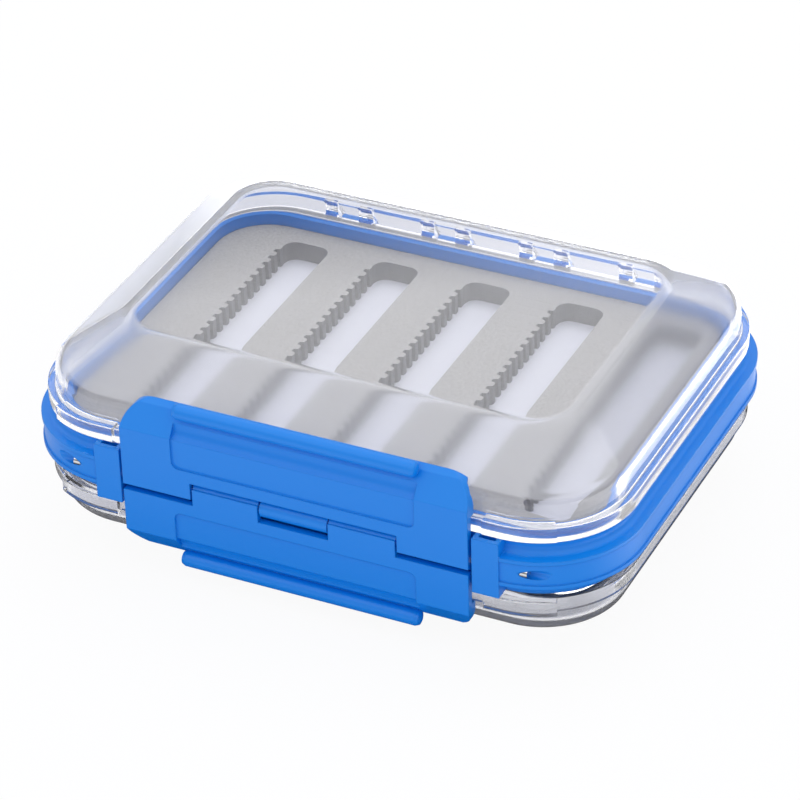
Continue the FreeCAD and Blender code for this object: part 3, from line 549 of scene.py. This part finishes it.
@dataclass
class FoamPad:
    """Foam pad with five slots, each with a toothed left wall and fine slits across the rib."""

    half: Half
    half_x: float = 53.9
    half_y: float = 38.5
    corner: float = 10.7
    low_z: float = 0.25
    high_z: float = 4.35
    slot_w: float = 9.6
    slot_half_y: float = 33.7
    slot_r: float = 2.5
    pitch: float = 19.9
    count: int = 5
    shift: float = 3.7
    tooth_mm: float = 2.65
    tooth_depth: float = 1.0
    tooth_share: float = 0.56
    slit_depth: float = 0.06
    rows_per_tooth: int = 12

    def edges_at(self, y: np.ndarray) -> np.ndarray:
        """Sides of the pad and of its slots at each y.

        The pad's side is half_x, less the corner circle's fall near the ends. A slot's
        sides are its centre plus and minus half its width, less the fall of its small
        corner circles. The left side steps in by a rounded tooth, repeated every pitch.

        Args:
            y: the rows' positions.

        Returns:
            Rows by boundaries array of x.
        """
        past = np.clip(np.abs(y) - (self.half_y - self.corner), 0, self.corner)
        side = self.half_x - self.corner + np.sqrt(self.corner ** 2 - past ** 2)
        columns = [-side]
        past = np.clip(np.abs(y) - (self.slot_half_y - self.slot_r), 0, self.slot_r)
        fall = self.slot_r - np.sqrt(self.slot_r ** 2 - past ** 2)
        away = np.abs((y / self.tooth_mm) % 1.0 - 0.5)
        tooth = self.tooth_depth * np.clip((self.tooth_share / 2 - away) / 0.09 + 0.5, 0, 1) ** 0.7
        inside = np.abs(y) < self.slot_half_y - self.slot_r
        for k in range(self.count):
            centre = self.pitch * (k - (self.count - 1) / 2) + self.shift
            columns.append(centre - self.slot_w / 2 + fall - np.where(inside, self.tooth_depth - tooth, 0))
            columns.append(centre + self.slot_w / 2 - fall)
        columns.append(side)
        return np.stack(columns, 1)

    def build(self, material: bpy.types.Material) -> bpy.types.Object:
        """Make the pad as a closed solid and put it in the CAD pad's place.

        Args:
            material: the foam finish.

        Returns:
            The finished piece.
        """
        name = "top_foam" if self.half is Half.TOP else "bottom_foam"
        # Rows keep step with the teeth, so that each tooth gets the same points
        row = self.tooth_mm / self.rows_per_tooth
        half_rows = int(self.half_y / row)
        y = np.arange(-half_rows, half_rows + 1) * row
        y[0], y[-1] = -self.half_y, self.half_y
        for edge in (-self.slot_half_y, self.slot_half_y):
            y[np.argmin(np.abs(y - edge))] = edge
        x = self.edges_at(y)
        # Each rib gets columns of its own so that the slits can dip along it
        spans = []
        for k in range(self.count * 2 + 1):
            parts = 10 if k % 2 == 0 else 2
            t = np.linspace(0, 1, parts + 1)[:-1]
            spans.append(x[:, k:k + 1] * (1 - t) + x[:, k + 1:k + 2] * t)
        spans.append(x[:, -1:])
        grid_x = np.concatenate(spans, 1)
        cols = grid_x.shape[1]
        hole = np.concatenate([np.full(10 if k % 2 == 0 else 2, k % 2 == 1)
                               for k in range(self.count * 2 + 1)])
        inside = (y[:-1] >= -self.slot_half_y) & (y[1:] <= self.slot_half_y)
        solid = ~(inside[:, None] & hole[None, :])
        # Slits: narrow dips every tooth, on the ribs only, fading towards the far side
        phase = (y / self.tooth_mm) % 1.0
        near = np.minimum(phase, 1 - phase) * self.tooth_mm
        dip = self.slit_depth * np.clip(1 - near / 0.2, 0, 1) * (np.abs(y) < self.slot_half_y - 1)
        fade = np.concatenate([np.linspace(0.15, 1.0, 10) if k % 2 == 0 and k < self.count * 2 else np.zeros(10 if k % 2 == 0 else 2)
                               for k in range(self.count * 2 + 1)] + [np.zeros(1)])
        top = self.high_z - dip[:, None] * fade[None, :]
        upper = np.stack([grid_x, np.broadcast_to(y[:, None], grid_x.shape), top], -1).reshape(-1, 3)
        lower = upper.copy()
        lower[:, 2] = self.low_z
        r, c = np.nonzero(solid)
        quads = np.stack([r * cols + c, r * cols + c + 1, (r + 1) * cols + c + 1, (r + 1) * cols + c], -1)
        n = len(upper)
        sides = np.concatenate([quads[:, [0, 1]], quads[:, [1, 2]], quads[:, [2, 3]], quads[:, [3, 0]]])
        key = np.sort(sides, 1)
        _, first, times = np.unique(key[:, 0] * n + key[:, 1], return_index=True, return_counts=True)
        border = sides[first[times == 1]]
        walls = np.stack([border[:, 1], border[:, 0], border[:, 0] + n, border[:, 1] + n], -1)
        faces = np.concatenate([quads, quads[:, ::-1] + n, walls])
        points = np.concatenate([upper, lower])
        used = np.unique(faces)
        remap = np.full(len(points), -1)
        remap[used] = np.arange(len(used))
        points, faces = points[used], remap[faces]
        if self.half is Half.BOTTOM:
            points = points * [1, 1, -1]
            faces = faces[:, ::-1]
        points = points + [0, 0, MID_Z]
        piece = new_piece("slit_" + name, points, faces, material, 30)
        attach(piece, "case")
        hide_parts(name)
        return piece


# Plain parts that keep their CAD shapes


@dataclass
class MouldedParts:
    """The parts whose CAD shape stays: frame, latches, panel, seals and pins."""

    blue: tuple[str, ...] = ("frame", "upper_latch", "lower_latch")
    white: tuple[str, ...] = ("centre_panel",)
    silicone: tuple[str, ...] = ("top_seal", "bottom_seal")
    steel: tuple[str, ...] = ("latch_pin", "top_hinge_pins", "bottom_hinge_pins")

    def dress(self) -> None:
        """Give each CAD node the material of the real part."""
        finishes = {
            self.blue: MouldedBlue(),
            # Matt white sheet: it looks faintly cool next to the foam
            self.white: PlainFinish("white_styrene_sheet", "DDDFE9", 0.55),
            # Moulded silicone: soft white, a little shine
            self.silicone: PlainFinish("white_silicone", "E6E8EE", 0.4, 0.0, 1.43),
            # Polished stainless wire
            self.steel: PlainFinish("polished_steel_wire", "DADADC", 0.18, 1.0),
        }
        for names, finish in finishes.items():
            material = finish.build()
            for name in names:
                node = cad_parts[name]
                for slot in node.material_slots:
                    slot.material = material
                log.info("dressed %s in %s", name, finish.name)


# Floor, light and camera


@dataclass
class Studio:
    """White floor, soft light from all round and the camera at the photograph's view."""

    azimuth: float = 26.24
    elevation: float = 33.39
    roll: float = -1.82
    distance: float = 745.0
    focal_px: float = 3885.15
    shift_right: float = -0.416
    shift_up: float = -1.896
    glow_share: float = 0.93
    # Painted soft grey shade that the floor shows only through the lids' far side
    through: str = "F0F1F6"

    def ramp(self, tree: bpy.types.NodeTree, value: bpy.types.NodeSocket, source: tuple[float, float],
             result: tuple[float, float]) -> bpy.types.NodeSocket:
        """Map a value from one range to another and hold it at the ends.

        Args:
            tree: the node tree.
            value: the output to map.
            source: the value's range.
            result: what its ends become.

        Returns:
            The mapped output.
        """
        node = add_node(tree, "MapRange", {"Value": value})
        for name, number in zip(("From Min", "From Max", "To Min", "To Max"), source + result):
            node.inputs[name].default_value = number
        return node.outputs[0]

    def mirror_rays(self, tree: bpy.types.NodeTree, path: bpy.types.Node) -> bpy.types.NodeSocket:
        """Pick out true reflections, because refracted rays count as glossy too.

        Args:
            tree: the node tree.
            path: its Light Path node.

        Returns:
            One for a mirrored ray, else zero.
        """
        both = {0: path.outputs["Is Glossy Ray"], 1: path.outputs["Is Reflection Ray"]}
        return add_node(tree, "Math", both, operation="MULTIPLY").outputs[0]

    def camera(self) -> None:
        """Place the camera from the angles that the box's own edges gave."""
        az, el, roll = (math.radians(v) for v in (self.azimuth, self.elevation, self.roll))
        back = Vector((math.sin(az) * math.cos(el), -math.cos(az) * math.cos(el), math.sin(el)))
        right = (-back).cross(Vector((0, 0, 1))).normalized()
        up = right.cross(-back)
        right, up = (math.cos(roll) * right + math.sin(roll) * up,
                     -math.sin(roll) * right + math.cos(roll) * up)
        place = back * self.distance + right * self.shift_right + up * self.shift_up + Vector((0, 0, MID_Z))
        data = bpy.data.cameras.new("camera")
        data.sensor_width = 36.0
        data.lens = self.focal_px * 36.0 / 800
        data.clip_start = 0.01
        data.clip_end = 20.0
        camera = bpy.data.objects.new("camera", data)
        axes = Matrix((right, up, back)).transposed().to_4x4()
        camera.matrix_world = Matrix.Translation(place * MM) @ axes
        bpy.context.scene.collection.objects.link(camera)
        bpy.context.scene.camera = camera

    def world(self) -> None:
        """White to the camera, with a large bright ceiling in reflections."""
        world = bpy.data.worlds.new("studio")
        world.use_nodes = True
        tree = world.node_tree
        tree.nodes.clear()
        output = tree.nodes.new("ShaderNodeOutputWorld")
        path = add_node(tree, "LightPath")
        way = add_node(tree, "SeparateXYZ", {0: add_node(tree, "TexCoord").outputs["Generated"]})
        ceiling = add_node(tree, "MapRange", {"Value": way.outputs["Z"]})
        for name, value in (("From Min", 0.509), ("From Max", 0.527), ("To Min", 0.3), ("To Max", 1.6)):
            ceiling.inputs[name].default_value = value
        plain = add_node(tree, "Background", Color=(1, 1, 1, 1), Strength=1.0)
        mirrored = add_node(tree, "Background", {"Strength": ceiling.outputs[0]}, Color=(1, 1, 1, 1))
        mix = add_node(tree, "MixShader", {0: path.outputs["Is Glossy Ray"],
                                           1: plain.outputs[0], 2: mirrored.outputs[0]})
        tree.links.new(mix.outputs[0], output.inputs[0])
        bpy.context.scene.world = world

    def lamp(self, name: str, place: tuple, size: float, watts: float) -> None:
        """Add one square soft lamp aimed at the box.

        Args:
            name: the lamp's name.
            place: its position in metres.
            size: its side in metres.
            watts: its power.
        """
        data = bpy.data.lights.new(name, "AREA")
        data.shape = "SQUARE"
        data.size = size
        data.energy = watts
        lamp = bpy.data.objects.new(name, data)
        lamp.visible_glossy = False
        lamp.visible_transmission = False
        lamp.location = place
        lamp.rotation_euler = (Vector((0, 0, 0.02)) - Vector(place)).to_track_quat("-Z", "Y").to_euler()
        bpy.context.scene.collection.objects.link(lamp)

    def floor(self) -> None:
        """Add the pale floor, which is white to the camera and keeps a faint shadow; in reflections it shows a
        painted contact shadow and a painted bright glow.
        """
        material, tree, output = new_material("studio_floor")
        place = add_node(tree, "TexCoord").outputs["Object"]
        # How far a point lies from the box's outline
        size = add_node(tree, "VectorMath", {0: place}, operation="ABSOLUTE")
        past = add_node(tree, "VectorMath", {0: size.outputs[0]}, operation="SUBTRACT")
        past.inputs[1].default_value = (0.061, 0.048, 1.0)
        past = add_node(tree, "VectorMath", {0: past.outputs[0]}, operation="MAXIMUM")
        away = add_node(tree, "VectorMath", {0: past.outputs[0]}, operation="LENGTH").outputs["Value"]
        path = add_node(tree, "LightPath")
        paint = add_node(tree, "BsdfDiffuse", Color=linear("F0F2FA"))
        # White to the camera, and a painted soft grey shade where the floor is seen through the lids' far side
        axes = add_node(tree, "SeparateXYZ", {0: place})
        behind = self.ramp(tree, axes.outputs["Y"], (-0.03, 0.05), (0.0, 1.0))
        grey_shade_through_lids = add_node(tree, "Math", {0: path.outputs["Is Transmission Ray"], 1: behind}, operation="MULTIPLY")
        colour = add_node(tree, "Mix", {0: grey_shade_through_lids.outputs[0]}, data_type="RGBA")
        colour.inputs[6].default_value = (1.0, 1.0, 1.0, 1.0)
        colour.inputs[7].default_value = linear(self.through)
        glow = add_node(tree, "Emission", {"Color": colour.outputs[2]}, Strength=1.0)
        # Seen through the lids the floor keeps its own shade close to the box
        clear = self.ramp(tree, away, (0.0, 0.03), (0.72, self.glow_share))
        share = add_node(tree, "Math", {0: path.outputs["Is Transmission Ray"], 1: clear}, operation="MULTIPLY")
        direct = add_node(tree, "Math", {0: path.outputs["Is Camera Ray"]}, operation="MULTIPLY")
        direct.inputs[1].default_value = self.glow_share
        share = add_node(tree, "Math", {0: share.outputs[0], 1: direct.outputs[0]}, operation="MAXIMUM")
        seen = add_node(tree, "MixShader", {0: share.outputs[0], 1: paint.outputs[0], 2: glow.outputs[0]})
        # In reflections it carries painted light and shade: a painted contact shadow, dark close to the box, and a
        # painted glow, brightest behind it on the right at up to three times white
        across = add_node(tree, "Math", {0: axes.outputs["X"], 2: axes.outputs["Y"]}, operation="MULTIPLY_ADD")
        across.inputs[1].default_value = 0.8
        # Painted contact shadow in reflections: no glow at the box's outline, full glow 35 mm away
        near = self.ramp(tree, away, (0.003, 0.035), (0.0, 1.0))
        # Painted glow in reflections, brighter towards the back right
        painted_backlight = self.ramp(tree, across.outputs[0], (0.015, 0.08), (1.1, 3.0))
        strength = add_node(tree, "Math", {0: near, 1: painted_backlight}, operation="MULTIPLY")
        mirrored = add_node(tree, "Emission", {"Strength": strength.outputs[0]}, Color=(1, 1, 1, 1))
        both = add_node(tree, "MixShader", {0: self.mirror_rays(tree, path),
                                            1: seen.outputs[0], 2: mirrored.outputs[0]})
        tree.links.new(both.outputs[0], output.inputs[0])
        side = 3000.0
        points = np.array([[-side, -side, -0.05], [side, -side, -0.05], [side, side, -0.05], [-side, side, -0.05]])
        piece = new_piece("studio_floor", points, [[0, 1, 2, 3]], material)

    def build(self) -> None:
        """Set up the floor, the lamps, the world and the camera."""
        self.floor()
        self.world()
        self.lamp("overhead", (0.1, 0.45, 1.0), 0.8, 2.0)
        self.camera()
        bpy.context.scene.view_settings.view_transform = "Standard"


def main() -> None:
    """Build every piece, then the studio."""
    clear = ClearMoulding().build()
    foam = GreyFoam().build()
    for half in Half:
        for piece in (Lid(half).build(clear), FoamPad(half).build(foam)):
            log.info("made %s with %d faces", piece.name, len(piece.data.polygons))
    MouldedParts().dress()
    Studio().build()


if __name__ == "__main__":
    main()
